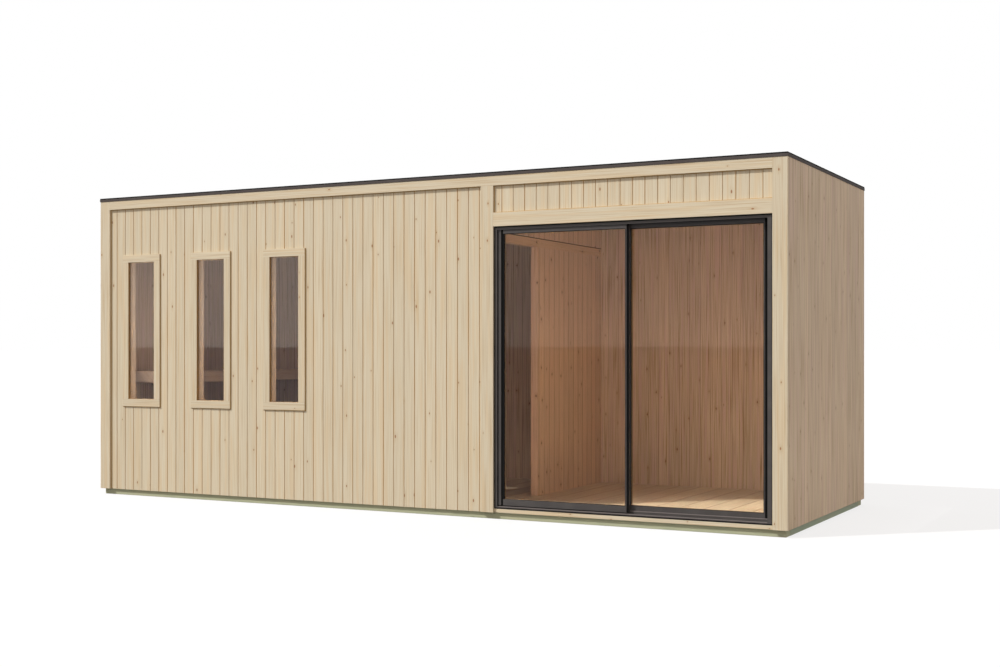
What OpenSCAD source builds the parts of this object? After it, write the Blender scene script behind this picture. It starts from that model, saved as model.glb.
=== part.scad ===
// Sauna cabin: a flat-roofed timber cabin with a sauna room and a glazed lobby.
// Millimetres. The origin is the centre of the footprint at ground level:
// +X runs along the front to the right, the front faces -Y and +Z is up.

/* [Cabin] */
// Length of the walls along the front
cabin_l = 5820; // [5600:10:6400]
// Depth from the face of the front boards to the face of the back wall
cabin_w = 2135; // [1900:5:2600]
// Height of the walls above the bearers
wall_h = 2382; // [2300:1:2600]
// Thickness of the solid timber wall panels
panel_t = 60; // [45:1:90]
// Thickness of the upright cladding boards on the front
clad_t = 18; // [14:1:28]
// Thickness of the flat trim boards on the front
trim_t = 18; // [14:1:28]

/* [Foundation] */
// Height of the pressure-treated bearers
bearer_h = 47; // [40:1:100]
// Width of the bearers
bearer_w = 95; // [80:1:120]
// Distance from the faces of the walls and cladding in to the bearers
bearer_inset = 20; // [10:1:40]
// Number of cross bearers, the two under the end walls included
cross_count = 6; // [4:1:9]
// Thickness of the boarded floor
floor_t = 35; // [26:1:45]

/* [Roof] */
// Thickness of the ceiling panel
ceiling_t = 60; // [45:1:90]
// Thickness of the roofing membrane
membrane_t = 6; // [4:1:12]
// Height of the metal roof edge
edge_h = 28; // [20:1:60]
// Width of the metal roof edge
edge_w = 45; // [30:1:80]
// Overhang of the roof edge past the walls
edge_over = 4; // [2:1:12]

/* [Front boards] */
// Width of the corner boards
corner_w = 100; // [90:1:120]
// Width of the upright board beside the door
seam_w = 100; // [80:1:120]
// Height of the board under the roof edge
fascia_h = 70; // [50:1:100]
// Height of the board over the door
head_board_h = 98; // [70:1:140]
// Height of the board under the door
sill_board_h = 28; // [20:1:36]

/* [Windows] */
// Clear width of a window
window_w = 274; // [200:1:330]
// Clear height of a window
window_h = 1123; // [800:1:1300]
// Height of the clear opening's lower edge above the bearers
window_sill = 747; // [600:1:800]
// Number of windows
window_count = 3; // [1:1:3]
// Distance from the cabin's left end to the middle of the first window
window_edge = 435; // [400:5:600]
// Distance between the middles of two windows
window_step = 720; // [540:5:760]
// Width of the window casings
casing_w = 60; // [45:1:90]
// Thickness of the window casings
casing_t = 12; // [10:1:18]
// Thickness of the lining boards in the window openings
liner_t = 20; // [16:1:26]
// Thickness of a window's glazing unit
window_glass_t = 20; // [14:1:24]
// Depth of the glazing unit behind the front boards' face
window_glass_set = 18; // [18:1:34]
// Depth that the glazing unit enters the lining
window_glass_lap = 9; // [6:1:12]

/* [Sliding door] */
// Width of the door opening between the front boards
opening_w = 2017; // [1900:1:2100]
// Height of the wall over the door opening
header_h = 359; // [260:1:420]
// Sealed gap between the front boards and the door frame
seal_gap = 8; // [6:1:12]
// Distance of the frame's face behind the front boards' face
frame_set = 16; // [6:1:18]
// Wall thickness of the frame's lips and ribs
frame_rib = 5; // [4:1:5]
// Thickness of the frame's head and track plates
frame_plate = 4; // [3:1:6]
// Width of a jamb where its closed leaf stands
jamb_narrow = 16; // [12:1:20]
// Width of a jamb where the other leaf arrives
jamb_wide = 28; // [24:1:34]
// Depth of the head's guide ribs
head_rib = 12; // [9:1:16]
// Height of the track's front lip
track_lip = 6; // [4:1:8]
// Height of the track's other guide ribs
track_rib = 24; // [20:1:28]
// Gap between a leaf and the frame
leaf_clear = 5; // [5:1:7]
// Gap between the track plate and a leaf's lower edge
roller_gap = 13; // [10:1:16]
// Thickness of a leaf
leaf_t = 26; // [22:1:28]
// Overlap of the two closed leaves
leaf_lap = 25; // [15:1:26]
// Width of a leaf's outer stile strip
strip_w = 22; // [16:1:28]
// Width of the dark groove in a stile
groove_w = 16; // [10:1:18]
// Depth of the dark groove in a stile
groove_d = 10; // [6:1:12]
// Width of the glazing bead beside the glass
bead_w = 8; // [6:1:18]
// Height of a leaf's lower rail
rail_low = 44; // [40:1:70]
// Height of a leaf's upper rail
rail_top = 35; // [30:1:60]
// Thickness of a leaf's glazing unit
leaf_glass_t = 18; // [14:1:20]
// Depth that the glazing unit enters the rails and stiles
leaf_glass_lap = 8; // [6:1:9]

/* [Partition] */
// Distance from the door opening to the partition
lobby_return = 67; // [10:1:300]
// Thickness of the partition
partition_t = 60; // [45:1:80]
// Width of the partition between the front wall and the doorway
doorway_near = 66; // [50:1:200]
// Width of the doorway
doorway_w = 700; // [600:1:800]
// Height of the doorway above the floor
doorway_h = 1902; // [1850:1:1950]
// Height of the rail over the doorway
door_rail_h = 63; // [50:1:90]

/* [Bench] */
// Depth of the bench from the end wall to its front
bench_d = 600; // [450:1:700]
// Height of the bench above the floor
bench_top = 935; // [880:1:960]
// Gap between the front wall and the bench
bench_gap = 165; // [100:1:300]
// Thickness of the bench boards
bench_board_t = 28; // [20:1:32]
// Height of the bench's front board
bench_face_h = 90; // [70:1:120]
// Number of seat boards
seat_boards = 6; // [4:1:7]
// Gap between the seat boards
seat_gap = 12; // [8:1:20]
// Depth of the bench bearers
bench_bearer_h = 70; // [60:1:95]
// Width of the bench legs
leg_w = 70; // [45:1:80]
// Thickness of the bench legs and bearers
leg_t = 45; // [35:1:60]
// Number of leg frames
leg_frames = 3; // [2:1:4]

/* [Hidden] */

spruce = "#d3c2a6";
shaded_spruce = "#8a6a50";
treated_pine = "#8c9474";
anthracite = "#4a4644";
roofing = "#3a3a3c";
pane = [0.55, 0.60, 0.62, 0.35];

// Levels above the ground
z0 = bearer_h;
z_top = z0 + wall_h;
z_floor = z0 + floor_t;
z_ceiling = z_top - ceiling_t;
z_fascia = z_top - fascia_h;

// Faces along X
x_left = -cabin_l / 2;
x_right = cabin_l / 2;
x_in_left = x_left + panel_t;
x_in_right = x_right - panel_t;
x_open_right = x_right - corner_w;
x_open_left = x_open_right - opening_w;
x_part_right = x_open_left - lobby_return;
x_part_left = x_part_right - partition_t;

// Faces along Y, from the front boards' face to the back
y_face = -cabin_w / 2;
y_clad = y_face + trim_t;
y_panel = y_clad + clad_t;
y_in = y_panel + panel_t;
y_back = cabin_w / 2;
y_in_back = y_back - panel_t;

// Bearers
x_bearer = cabin_l / 2 - bearer_inset;
y_bearer_front = y_clad + bearer_inset;
y_bearer_back = y_back - bearer_inset;

// Door frame and leaves
x_frame_left = x_open_left + seal_gap;
x_frame_right = x_open_right - seal_gap;
z_open = z0 + sill_board_h;
z_head_board = z_top - header_h;
z_frame = z_open + seal_gap;
z_frame_top = z_head_board - seal_gap;
y_frame = y_face + frame_set;
y_leaf_front = y_frame + frame_rib + leaf_clear;
y_rib_mid = y_leaf_front + leaf_t + leaf_clear;
y_leaf_back = y_rib_mid + frame_rib + leaf_clear;
y_rib_back = y_leaf_back + leaf_t + leaf_clear;
y_frame_back = y_rib_back + frame_rib;
y_track_mid = y_rib_mid + frame_rib / 2;
z_plate = z_frame + frame_plate;
z_head_plate = z_frame_top - frame_plate;
z_leaf = z_plate + roller_gap;
z_leaf_top = z_head_plate - leaf_clear;
leaf_h = z_leaf_top - z_leaf;
x_leaf_left = x_frame_left + jamb_narrow + leaf_clear;
x_leaf_right = x_frame_right - jamb_narrow - leaf_clear;
leaf_w = (x_leaf_right - x_leaf_left + leaf_lap) / 2;
stile_w = strip_w + groove_w + bead_w;
meeting_w = groove_w + bead_w;

// Windows
z_window = z0 + window_sill;
y_window_glass = y_face + window_glass_set;
x_window_first = x_left + window_edge;

// Bench
x_bench = x_in_left + bench_d;
y_bench = y_in + bench_gap;
z_bench = z_floor + bench_top;
z_seat = z_bench - bench_board_t;
seat_depth = bench_d - bench_board_t;
seat_board_w = seat_depth / seat_boards - seat_gap;

// Cuts run this far past the faces that they open
cut = 1;

// A block between two corners
module block(x, y, z) {
    translate([x[0], y[0], z[0]])
        cube([x[1] - x[0], y[1] - y[0], z[1] - z[0]]);
}

// Centre of window n, counted from the left
function window_x(n) = x_window_first + (n - 1) * window_step;

// A block over window n's clear opening, grown by a margin on each side
module window_block(n, margin, y) {
    block([window_x(n) - window_w / 2 - margin, window_x(n) + window_w / 2 + margin], y,
          [z_window - margin, z_window + window_h + margin]);
}

module window_openings(margin, y) {
    for (n = [1:window_count])
        window_block(n, margin, [y[0] - cut, y[1] + cut]);
}

// Foundation and floor

module long_bearers() {
    color(treated_pine) {
        block([-x_bearer, x_bearer], [y_bearer_front, y_bearer_front + bearer_w], [0, z0]);
        block([-x_bearer, x_bearer], [y_bearer_back - bearer_w, y_bearer_back], [0, z0]);
    }
}

module cross_bearers() {
    step = (2 * x_bearer - bearer_w) / (cross_count - 1);
    y = [y_bearer_front + bearer_w, y_bearer_back - bearer_w];
    color(treated_pine)
        for (i = [0:cross_count - 1])
            translate([-x_bearer + i * step, 0, 0])
                block([0, bearer_w], y, [0, z0]);
}

module floor() {
    color(spruce)
        block([x_in_left, x_in_right], [y_in, y_in_back], [z0, z_floor]);
}

// Walls

module front_wall() {
    y = [y_panel, y_in];
    color(shaded_spruce)
        difference() {
            block([x_in_left, x_frame_left], y, [z0, z_top]);
            window_openings(liner_t, y);
        }
}

module door_header_panel() {
    color(shaded_spruce)
        block([x_frame_left, x_in_right], [y_panel, y_in], [z_frame_top, z_top]);
}

module right_door_post() {
    color(shaded_spruce) {
        union() {
            block([x_frame_right, x_in_right], [y_panel, y_in], [z0, z_frame_top]);
            block([x_open_right, x_in_right], [y_clad, y_panel], [z0, z_head_board]);
        }
    }
}

module door_threshold() {
    color(spruce)
        block([x_frame_left, x_frame_right], [y_panel, y_in], [z0, z_frame]);
}

module back_wall() {
    color(spruce)
        block([x_in_left, x_in_right], [y_in_back, y_back], [z0, z_top]);
}

module end_wall(x) {
    color(spruce)
        block(x, [y_clad, y_back], [z0, z_top]);
}

module left_end_wall() {
    end_wall([x_left, x_in_left]);
}

module right_end_wall() {
    end_wall([x_in_right, x_right]);
}

// Cladding and boards on the front

module sauna_cladding() {
    y = [y_clad, y_panel];
    color(spruce)
        difference() {
            block([x_in_left, x_open_left], y, [z0, z_top]);
            window_openings(liner_t, y);
        }
}

module lobby_cladding() {
    color(spruce)
        block([x_open_left, x_in_right], [y_clad, y_panel], [z_head_board, z_top]);
}

module trim_board(x, z) {
    color(spruce)
        block(x, [y_face, y_clad], z);
}

module left_corner_board() {
    trim_board([x_left, x_left + corner_w], [z0, z_top]);
}

module right_corner_board() {
    trim_board([x_open_right, x_right], [z0, z_top]);
}

module seam_board() {
    trim_board([x_open_left - seam_w, x_open_left], [z0, z_fascia]);
}

module fascia_board() {
    trim_board([x_left + corner_w, x_open_right], [z_fascia, z_top]);
}

module door_head_board() {
    trim_board([x_open_left, x_open_right], [z_head_board, z_head_board + head_board_h]);
}

module sill_board() {
    color(spruce)
        block([x_open_left, x_open_right], [y_clad, y_panel], [z0, z_open]);
}

// Partition between the sauna and the lobby

module partition_slab(y, z) {
    color(shaded_spruce)
        block([x_part_left, x_part_right], y, z);
}

z_doorway = z_floor + doorway_h;
z_rail_top = z_doorway + door_rail_h;
y_doorway = y_in + doorway_near;

module partition_front_panel() {
    partition_slab([y_in, y_doorway], [z_floor, z_doorway]);
}

module partition_back_panel() {
    partition_slab([y_doorway + doorway_w, y_in_back], [z_floor, z_doorway]);
}

module partition_rail() {
    partition_slab([y_in, y_in_back], [z_doorway, z_rail_top]);
}

module partition_upper_panel() {
    partition_slab([y_in, y_in_back], [z_rail_top, z_ceiling]);
}

// Roof

module ceiling_panel() {
    color(shaded_spruce)
        block([x_in_left, x_in_right], [y_in, y_in_back], [z_ceiling, z_top]);
}

module roof_membrane() {
    x = cabin_l / 2 + edge_over - edge_w;
    y = cabin_w / 2 + edge_over - edge_w;
    color(roofing)
        block([-x, x], [-y, y], [z_top, z_top + membrane_t]);
}

module roof_edges_long() {
    color(anthracite)
        for (side = [-1, 1])
            translate([0, side * (cabin_w / 2 + edge_over - edge_w / 2), z_top + edge_h / 2])
                cube([cabin_l + 2 * edge_over, edge_w, edge_h], center = true);
}

module roof_edges_short() {
    color(anthracite)
        for (side = [-1, 1])
            translate([side * (cabin_l / 2 + edge_over - edge_w / 2), 0, z_top + edge_h / 2])
                cube([edge_w, cabin_w + 2 * (edge_over - edge_w), edge_h], center = true);
}

// Sliding door frame

module door_frame_head() {
    z = [z_head_plate - head_rib, z_head_plate];
    x = [x_frame_left + jamb_wide, x_frame_right - jamb_wide];
    color(anthracite)
        union() {
            block([x_frame_left, x_frame_right], [y_frame, y_frame_back], [z_head_plate, z_frame_top]);
            block([x_frame_left + jamb_narrow, x[1]], [y_frame, y_frame + frame_rib], z);
            block(x, [y_rib_mid, y_rib_mid + frame_rib], z);
            block([x[0], x_frame_right - jamb_narrow], [y_rib_back, y_frame_back], z);
        }
}

module door_frame_track() {
    x = [x_frame_left + jamb_wide, x_frame_right - jamb_wide];
    color(anthracite)
        union() {
            block([x_frame_left, x_frame_right], [y_frame, y_frame_back], [z_frame, z_plate]);
            block([x_frame_left + jamb_narrow, x[1]], [y_frame, y_frame + frame_rib], [z_plate, z_plate + track_lip]);
            block(x, [y_rib_mid, y_rib_mid + frame_rib], [z_plate, z_plate + track_rib]);
            block([x[0], x_frame_right - jamb_narrow], [y_rib_back, y_frame_back], [z_plate, z_plate + track_rib]);
        }
}

// A jamb's two halves: the first width stands by the front track, the second by the back one
module jamb(x_outer, side, front_w, back_w) {
    color(anthracite)
        union() {
            translate([x_outer, y_frame, z_plate])
                mirror([side < 0 ? 1 : 0, 0, 0])
                    cube([front_w, y_track_mid - y_frame, z_head_plate - z_plate]);
            translate([x_outer, y_track_mid, z_plate])
                mirror([side < 0 ? 1 : 0, 0, 0])
                    cube([back_w, y_frame_back - y_track_mid, z_head_plate - z_plate]);
        }
}

module door_frame_left_jamb() {
    jamb(x_frame_left, 1, jamb_narrow, jamb_wide);
}

module door_frame_right_jamb() {
    jamb(x_frame_right, -1, jamb_wide, jamb_narrow);
}

// A leaf, drawn with its jamb stile at x = 0 and its meeting stile at x = leaf_w

module leaf_glass_block() {
    x = [stile_w - leaf_glass_lap, leaf_w - meeting_w + leaf_glass_lap];
    y = (leaf_t - leaf_glass_t) / 2;
    block(x, [y, y + leaf_glass_t], [rail_low - leaf_glass_lap, leaf_h - rail_top + leaf_glass_lap]);
}

module leaf_stiles() {
    color(anthracite)
        difference() {
            union() {
                block([0, stile_w], [0, leaf_t], [0, leaf_h]);
                block([leaf_w - meeting_w, leaf_w], [0, leaf_t], [0, leaf_h]);
            }
            block([strip_w, strip_w + groove_w], [-cut, groove_d], [-cut, leaf_h + cut]);
            block([leaf_w - groove_w, leaf_w + cut], [-cut, groove_d], [-cut, leaf_h + cut]);
            leaf_glass_block();
        }
}

module leaf_rails() {
    x = [stile_w, leaf_w - meeting_w];
    color(anthracite)
        difference() {
            union() {
                block(x, [0, leaf_t], [0, rail_low]);
                block(x, [0, leaf_t], [leaf_h - rail_top, leaf_h]);
            }
            leaf_glass_block();
        }
}

module leaf_glass() {
    color(pane)
        leaf_glass_block();
}

// The left leaf runs in the front track, with its jamb stile on the left
module place_left_leaf() {
    translate([x_leaf_left, y_leaf_front, z_leaf])
        children();
}

// The right leaf runs in the back track, with its jamb stile on the right
module place_right_leaf() {
    translate([x_leaf_right, y_leaf_back, z_leaf])
        mirror([1, 0, 0])
            children();
}

module left_leaf_stiles() {
    place_left_leaf() leaf_stiles();
}

module left_leaf_rails() {
    place_left_leaf() leaf_rails();
}

module left_leaf_glass() {
    place_left_leaf() leaf_glass();
}

module right_leaf_stiles() {
    place_right_leaf() leaf_stiles();
}

module right_leaf_rails() {
    place_right_leaf() leaf_rails();
}

module right_leaf_glass() {
    place_right_leaf() leaf_glass();
}

// Windows

module window_casing(n) {
    color(spruce)
        difference() {
            window_block(n, casing_w, [y_clad - casing_t, y_clad]);
            window_block(n, 0, [y_clad - casing_t - cut, y_clad + cut]);
        }
}

module window_glass(n) {
    color(pane)
        window_block(n, window_glass_lap, [y_window_glass, y_window_glass + window_glass_t]);
}

module window_liners() {
    color(shaded_spruce)
        for (n = [1:window_count])
            difference() {
                window_block(n, liner_t, [y_clad, y_in]);
                window_block(n, 0, [y_clad - cut, y_in + cut]);
                window_block(n, window_glass_lap, [y_window_glass, y_window_glass + window_glass_t]);
            }
}

// Bench along the sauna's end wall

module bench_seat() {
    color(shaded_spruce)
        for (i = [0:seat_boards - 1])
            translate([x_in_left + i * (seat_board_w + seat_gap), y_bench + bench_board_t, z_seat])
                cube([seat_board_w, y_in_back - y_bench - bench_board_t, bench_board_t]);
}

module bench_fascia() {
    z = [z_bench - bench_face_h, z_bench];
    color(shaded_spruce)
        union() {
            block([x_bench - bench_board_t, x_bench], [y_bench, y_in_back], z);
            block([x_in_left, x_bench], [y_bench, y_bench + bench_board_t], z);
        }
}

module bench_frame() {
    depth = bench_d - bench_board_t;
    height = z_seat - z_floor;
    union() {
        translate([0, 0, height - bench_bearer_h])
            cube([depth, leg_t, bench_bearer_h]);
        cube([leg_w, leg_t, height]);
        translate([depth - leg_w, 0, 0])
            cube([leg_w, leg_t, height]);
    }
}

module bench_frames() {
    first = y_bench + bench_board_t;
    last = y_in_back - leg_t;
    color(shaded_spruce)
        for (i = [0:leg_frames - 1])
            translate([x_in_left, first + i * (last - first) / (leg_frames - 1), z_floor])
                bench_frame();
}

long_bearers();
cross_bearers();
floor();
front_wall();
door_header_panel();
right_door_post();
door_threshold();
sauna_cladding();
lobby_cladding();
left_corner_board();
seam_board();
right_corner_board();
fascia_board();
door_head_board();
sill_board();
back_wall();
left_end_wall();
right_end_wall();
partition_back_panel();
partition_front_panel();
partition_rail();
partition_upper_panel();
ceiling_panel();
roof_membrane();
roof_edges_long();
roof_edges_short();
door_frame_head();
door_frame_left_jamb();
door_frame_right_jamb();
door_frame_track();
left_leaf_stiles();
left_leaf_rails();
left_leaf_glass();
right_leaf_stiles();
right_leaf_rails();
right_leaf_glass();
window_casing(1);  // window_1_casing
window_casing(2);  // window_2_casing
window_casing(3);  // window_3_casing
window_glass(1);  // window_1_glass
window_glass(2);  // window_2_glass
window_glass(3);  // window_3_glass
window_liners();
bench_seat();
bench_fascia();
bench_frames();
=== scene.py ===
"""Sauna cabin: boards, trim, glazing, door seals, rooms, roof, finishes, light and camera.

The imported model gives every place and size. Each class below builds one sub-assembly
of the cabin in metres: +X along the front, -Y out of the front, +Z up.
"""

import logging
import math
from collections.abc import Callable, Iterable, Mapping, Sequence
from dataclasses import dataclass
from enum import Enum
from typing import Any

import bmesh
import bpy
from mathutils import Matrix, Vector


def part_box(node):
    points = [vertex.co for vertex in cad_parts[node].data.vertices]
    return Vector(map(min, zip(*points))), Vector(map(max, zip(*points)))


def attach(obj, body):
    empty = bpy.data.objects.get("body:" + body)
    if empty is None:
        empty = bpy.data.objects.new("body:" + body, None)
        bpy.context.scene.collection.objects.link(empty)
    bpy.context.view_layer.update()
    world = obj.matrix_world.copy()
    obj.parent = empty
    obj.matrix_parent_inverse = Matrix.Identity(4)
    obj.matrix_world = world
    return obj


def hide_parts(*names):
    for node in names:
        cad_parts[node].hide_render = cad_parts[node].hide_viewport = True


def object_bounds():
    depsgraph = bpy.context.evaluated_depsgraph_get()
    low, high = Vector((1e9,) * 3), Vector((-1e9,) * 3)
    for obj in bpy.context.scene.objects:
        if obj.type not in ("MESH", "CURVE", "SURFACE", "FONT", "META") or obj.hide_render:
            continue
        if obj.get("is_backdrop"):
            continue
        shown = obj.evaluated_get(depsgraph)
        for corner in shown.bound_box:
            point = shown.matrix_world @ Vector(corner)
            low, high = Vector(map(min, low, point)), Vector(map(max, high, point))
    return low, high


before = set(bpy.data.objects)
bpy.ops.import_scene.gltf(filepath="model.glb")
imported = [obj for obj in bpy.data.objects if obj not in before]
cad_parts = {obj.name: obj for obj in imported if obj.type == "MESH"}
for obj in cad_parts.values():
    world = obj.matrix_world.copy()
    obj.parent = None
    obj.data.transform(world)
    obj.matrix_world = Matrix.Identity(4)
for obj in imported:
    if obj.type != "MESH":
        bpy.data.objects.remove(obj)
cad_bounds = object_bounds()

Point = tuple[float, float, float]
Span = tuple[float, float]
Colour = tuple[float, float, float, float]
Corner = Sequence[float]
Adder = Callable[..., Any]
log = logging.getLogger("sauna_cabin")

# Settings of two nodes that come up again and again: a range with soft ends, and a mix of
# colours, which has its colours at inputs 6 and 7 and its result at output 2.
SMOOTH = {"interpolation_type": "SMOOTHSTEP"}
COLOURS = {"data_type": "RGBA"}


class Axis(Enum):
    """A direction of the cabin, used for grain and for extrusions."""

    X = 0
    Y = 1
    Z = 2


class Side(Enum):
    """The door's two leaves, each named for the jamb that it closes on."""

    LEFT = "left"
    RIGHT = "right"


class Body(Enum):
    """The rigid bodies that pieces ride on."""

    CABIN = "cabin"
    LEFT_LEAF = "left_leaf"
    RIGHT_LEAF = "right_leaf"


class Slot(Enum):
    """The material slots that pieces belong to."""

    BOARDS = "spruce_boards"
    PANELS = "spruce_panels"
    FLOOR = "spruce_floor"
    WINDOW_GLASS = "window_glass"
    DOOR_GLASS = "door_glass"
    DOOR_METAL = "door_aluminium"
    BENCH = "bench_wood"
    ROOF = "roof_covering"
    ROOF_EDGE = "roof_edge_metal"
    BASE = "treated_pine"


# ---- finishes


def linear(code: str) -> Colour:
    """Turns an sRGB hex colour into linear light.

    Args:
        code: Six hex digits, such as "d3c2a6".

    Returns:
        Red, green, blue and an alpha of 1.
    """
    parts = [int(code[i : i + 2], 16) / 255 for i in (0, 2, 4)]
    r, g, b = (p / 12.92 if p <= 0.04045 else ((p + 0.055) / 1.055) ** 2.4 for p in parts)
    return (r, g, b, 1.0)


class Graph:
    """One node tree under construction."""

    def __init__(self, tree: bpy.types.NodeTree) -> None:
        """Empties the tree so that it can be built afresh."""
        self.tree = tree
        tree.nodes.clear()

    def add(
        self,
        kind: str,
        inputs: Mapping[int | str, Any] | Sequence[Any] = (),
        out: int | str | None = 0,
        **settings: Any,
    ) -> Any:
        """Adds a node with its settings and links.

        Args:
            kind: The node's type without the ShaderNode prefix.
            inputs: Values or other nodes' outputs, in the order of the node's inputs, or by
                the input's name or number.
            out: The output to return, or None for the node itself.
            **settings: Properties of the node.

        Returns:
            The chosen output, or the node.
        """
        node = self.tree.nodes.new("ShaderNode" + kind)
        for key, value in settings.items():
            setattr(node, key, value)
        named = inputs if isinstance(inputs, Mapping) else dict(enumerate(inputs))
        for key, value in named.items():
            if isinstance(value, bpy.types.NodeSocket):
                self.tree.links.new(value, node.inputs[key])
            else:
                node.inputs[key].default_value = value
        return node if out is None else node.outputs[out]


def new_object(name: str, data: Any) -> bpy.types.Object:
    """Puts a mesh, lamp or camera into the scene.

    Args:
        name: The object's name.
        data: Its mesh, lamp or camera.

    Returns:
        The object.
    """
    made = bpy.data.objects.new(name, data)
    bpy.context.scene.collection.objects.link(made)
    return made


def hide(thing: bpy.types.Object, *rays: str) -> None:
    """Hides an object from some kinds of ray."""
    for ray in rays:
        setattr(thing, f"visible_{ray}", False)


def new_material(name: str) -> tuple[bpy.types.Material, Graph]:
    """Makes an empty material and the graph that fills it.

    Args:
        name: The material's name.

    Returns:
        The material and its graph.
    """
    made = bpy.data.materials.new(name)
    made.use_nodes = True
    return made, Graph(made.node_tree)


@dataclass(frozen=True)
class WoodFinish:
    """Softwood boards or lamellas with fibres, figure, knots and a tone for each strip.

    The colours are sRGB hex values and the patterns are in millimetres. An edge holds the
    two levels between which a change comes in: levels of the noise; for a knot and its halo,
    distances from the knot's middle in its radii; for a joint, in its half widths.
    """

    name: str
    along: Axis
    face: str = "dacdb2"
    late: str = "c6ae86"
    resin: str = "dabf94"
    knot: str = "84502c"
    strip: float = 90.0
    start: float = 0.0
    lot_shift: Span = (7000.0, 9000.0)
    tone: float = 0.025
    joint: float = 0.0
    joint_tint: str = "a8804f"
    joint_share: Span = (0.3, 0.95)
    joint_edge: Span = (1.3, 0.7)
    joint_patches: Span = (0.35, 0.6)
    fibre: Span = (5.0, 520.0)
    fibre_detail: float = 2.0
    fibre_share: float = 0.55
    fibre_edge: Span = (0.4, 0.75)
    figure: Span = (30.0, 900.0)
    figure_detail: float = 3.0
    resin_share: float = 0.4
    resin_edge: Span = (0.48, 0.66)
    dark_lines: float = 0.12
    dark_edge: Span = (0.66, 0.8)
    knot_chance: float = 0.3
    knot_gap: float = 300.0
    knot_radii: Span = (4.5, 8.5)
    knot_spread: Span = (0.55, 1.25)
    knot_edge: Span = (1.15, 0.6)
    knot_share: float = 0.85
    knot_relief: float = -0.6
    halo_edge: Span = (4.5, 0.9)
    halo_share: float = 0.28
    halo_bend: float = 4.0
    roughness: float = 0.62
    roughness_swing: float = 0.06
    roughness_edge: Span = (0.2, 0.8)
    relief: float = 0.15
    relief_strength: float = 0.5

    def streaks(self, add: Adder, place: Sequence[Any], size: Span, detail: float) -> Any:
        """Adds a flat noise of long spots.

        Args:
            add: The function that adds a node to the graph.
            place: Where a point lies across and along the boards.
            size: Width and length of a spot, in millimetres.
            detail: How many finer layers the noise has.

        Returns:
            The noise.
        """
        spots = [
            add("Math", [value, 1000 / spot], operation="MULTIPLY")
            for value, spot in zip(place, size)
        ]
        inputs = {"Vector": add("CombineXYZ", spots), "Scale": 1.0, "Detail": detail}
        return add("TexNoise", inputs, noise_dimensions="2D")

    def knots(self, add: Adder, place: Sequence[Any]) -> list[Any]:
        """Sets knots in cells of the boards, one at most in each.

        Args:
            add: The function that adds a node to the graph.
            place: Where a point lies across and along the boards.

        Returns:
            How far a point is inside a knot, and how far inside the halo round it.
        """
        cell = (self.strip, self.knot_gap)
        steps = [
            add("Math", [value, side / 1000], operation="DIVIDE")
            for value, side in zip(place, cell)
        ]
        grid = add("CombineXYZ", steps)
        cells = add("TexVoronoi", {"Vector": grid, "Scale": 1.0}, None, voronoi_dimensions="2D")
        apart = add("VectorMath", [grid, cells.outputs["Position"]], operation="SUBTRACT")
        luck = add("SeparateXYZ", [cells.outputs["Color"]], None)
        size = add("MapRange", [luck.outputs[1], 0.0, 1.0, *self.knot_spread], **SMOOTH)
        scale = (*(side / radius for side, radius in zip(cell, self.knot_radii)), 0.0)
        oval = add("VectorMath", [apart, scale], operation="MULTIPLY")
        length = add("VectorMath", [oval], "Value", operation="LENGTH")
        reach = add("Math", [length, size], operation="DIVIDE")
        here = add("Math", [luck.outputs[0], self.knot_chance], operation="LESS_THAN")
        inside = []
        for edge in (self.knot_edge, self.halo_edge):
            share = add("MapRange", [reach, *edge, 0.0, 1.0], **SMOOTH)
            inside.append(add("Math", [share, here], operation="MULTIPLY"))
        return inside

    def material(self) -> bpy.types.Material:
        """Builds the wood from its strips, fibres, figure and knots.

        Returns:
            The material.
        """
        made, graph = new_material(self.name)
        add = graph.add
        xyz = add("SeparateXYZ", [add("TexCoord", out="Object")], None)
        others = [xyz.outputs[axis.value] for axis in Axis if axis is not self.along]
        across = add("Math", others, operation="ADD")
        length = xyz.outputs[self.along.value]

        # Each board has its own tone and its own piece of the tree.
        begun = add("Math", [across, self.start], operation="SUBTRACT")
        count = add("Math", [begun, self.strip / 1000], operation="DIVIDE")
        number = add("Math", [count], operation="FLOOR")
        lot = add("TexWhiteNoise", {"W": number}, None, noise_dimensions="1D")
        shift = add("SeparateXYZ", [lot.outputs["Color"]], None)
        place = [
            add("Math", [shift.outputs[i], self.lot_shift[i] / 1000, way], operation="MULTIPLY_ADD")
            for i, way in enumerate((across, length))
        ]
        core, halo = self.knots(add, place)

        # Fibres run along the board and part a little round each knot.
        bent = add("Math", [halo, self.halo_bend / 1000, place[0]], operation="MULTIPLY_ADD")
        fibre = self.streaks(add, [bent, place[1]], self.fibre, self.fibre_detail)
        figure = self.streaks(add, [bent, place[1]], self.figure, self.figure_detail)
        late = add("MapRange", [fibre, *self.fibre_edge, 0.0, self.fibre_share], **SMOOTH)
        resin = add("MapRange", [figure, *self.resin_edge, 0.0, self.resin_share], **SMOOTH)
        dark = add("MapRange", [fibre, *self.dark_edge, 0.0, self.dark_lines], **SMOOTH)
        shade = add("Math", [halo, self.halo_share], operation="MULTIPLY")
        heart = add("Math", [core, self.knot_share], operation="MULTIPLY")
        layers = [
            (late, self.late),
            (resin, self.resin),
            (dark, self.knot),
            (shade, self.late),
            (heart, self.knot),
        ]
        if self.joint:
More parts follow.
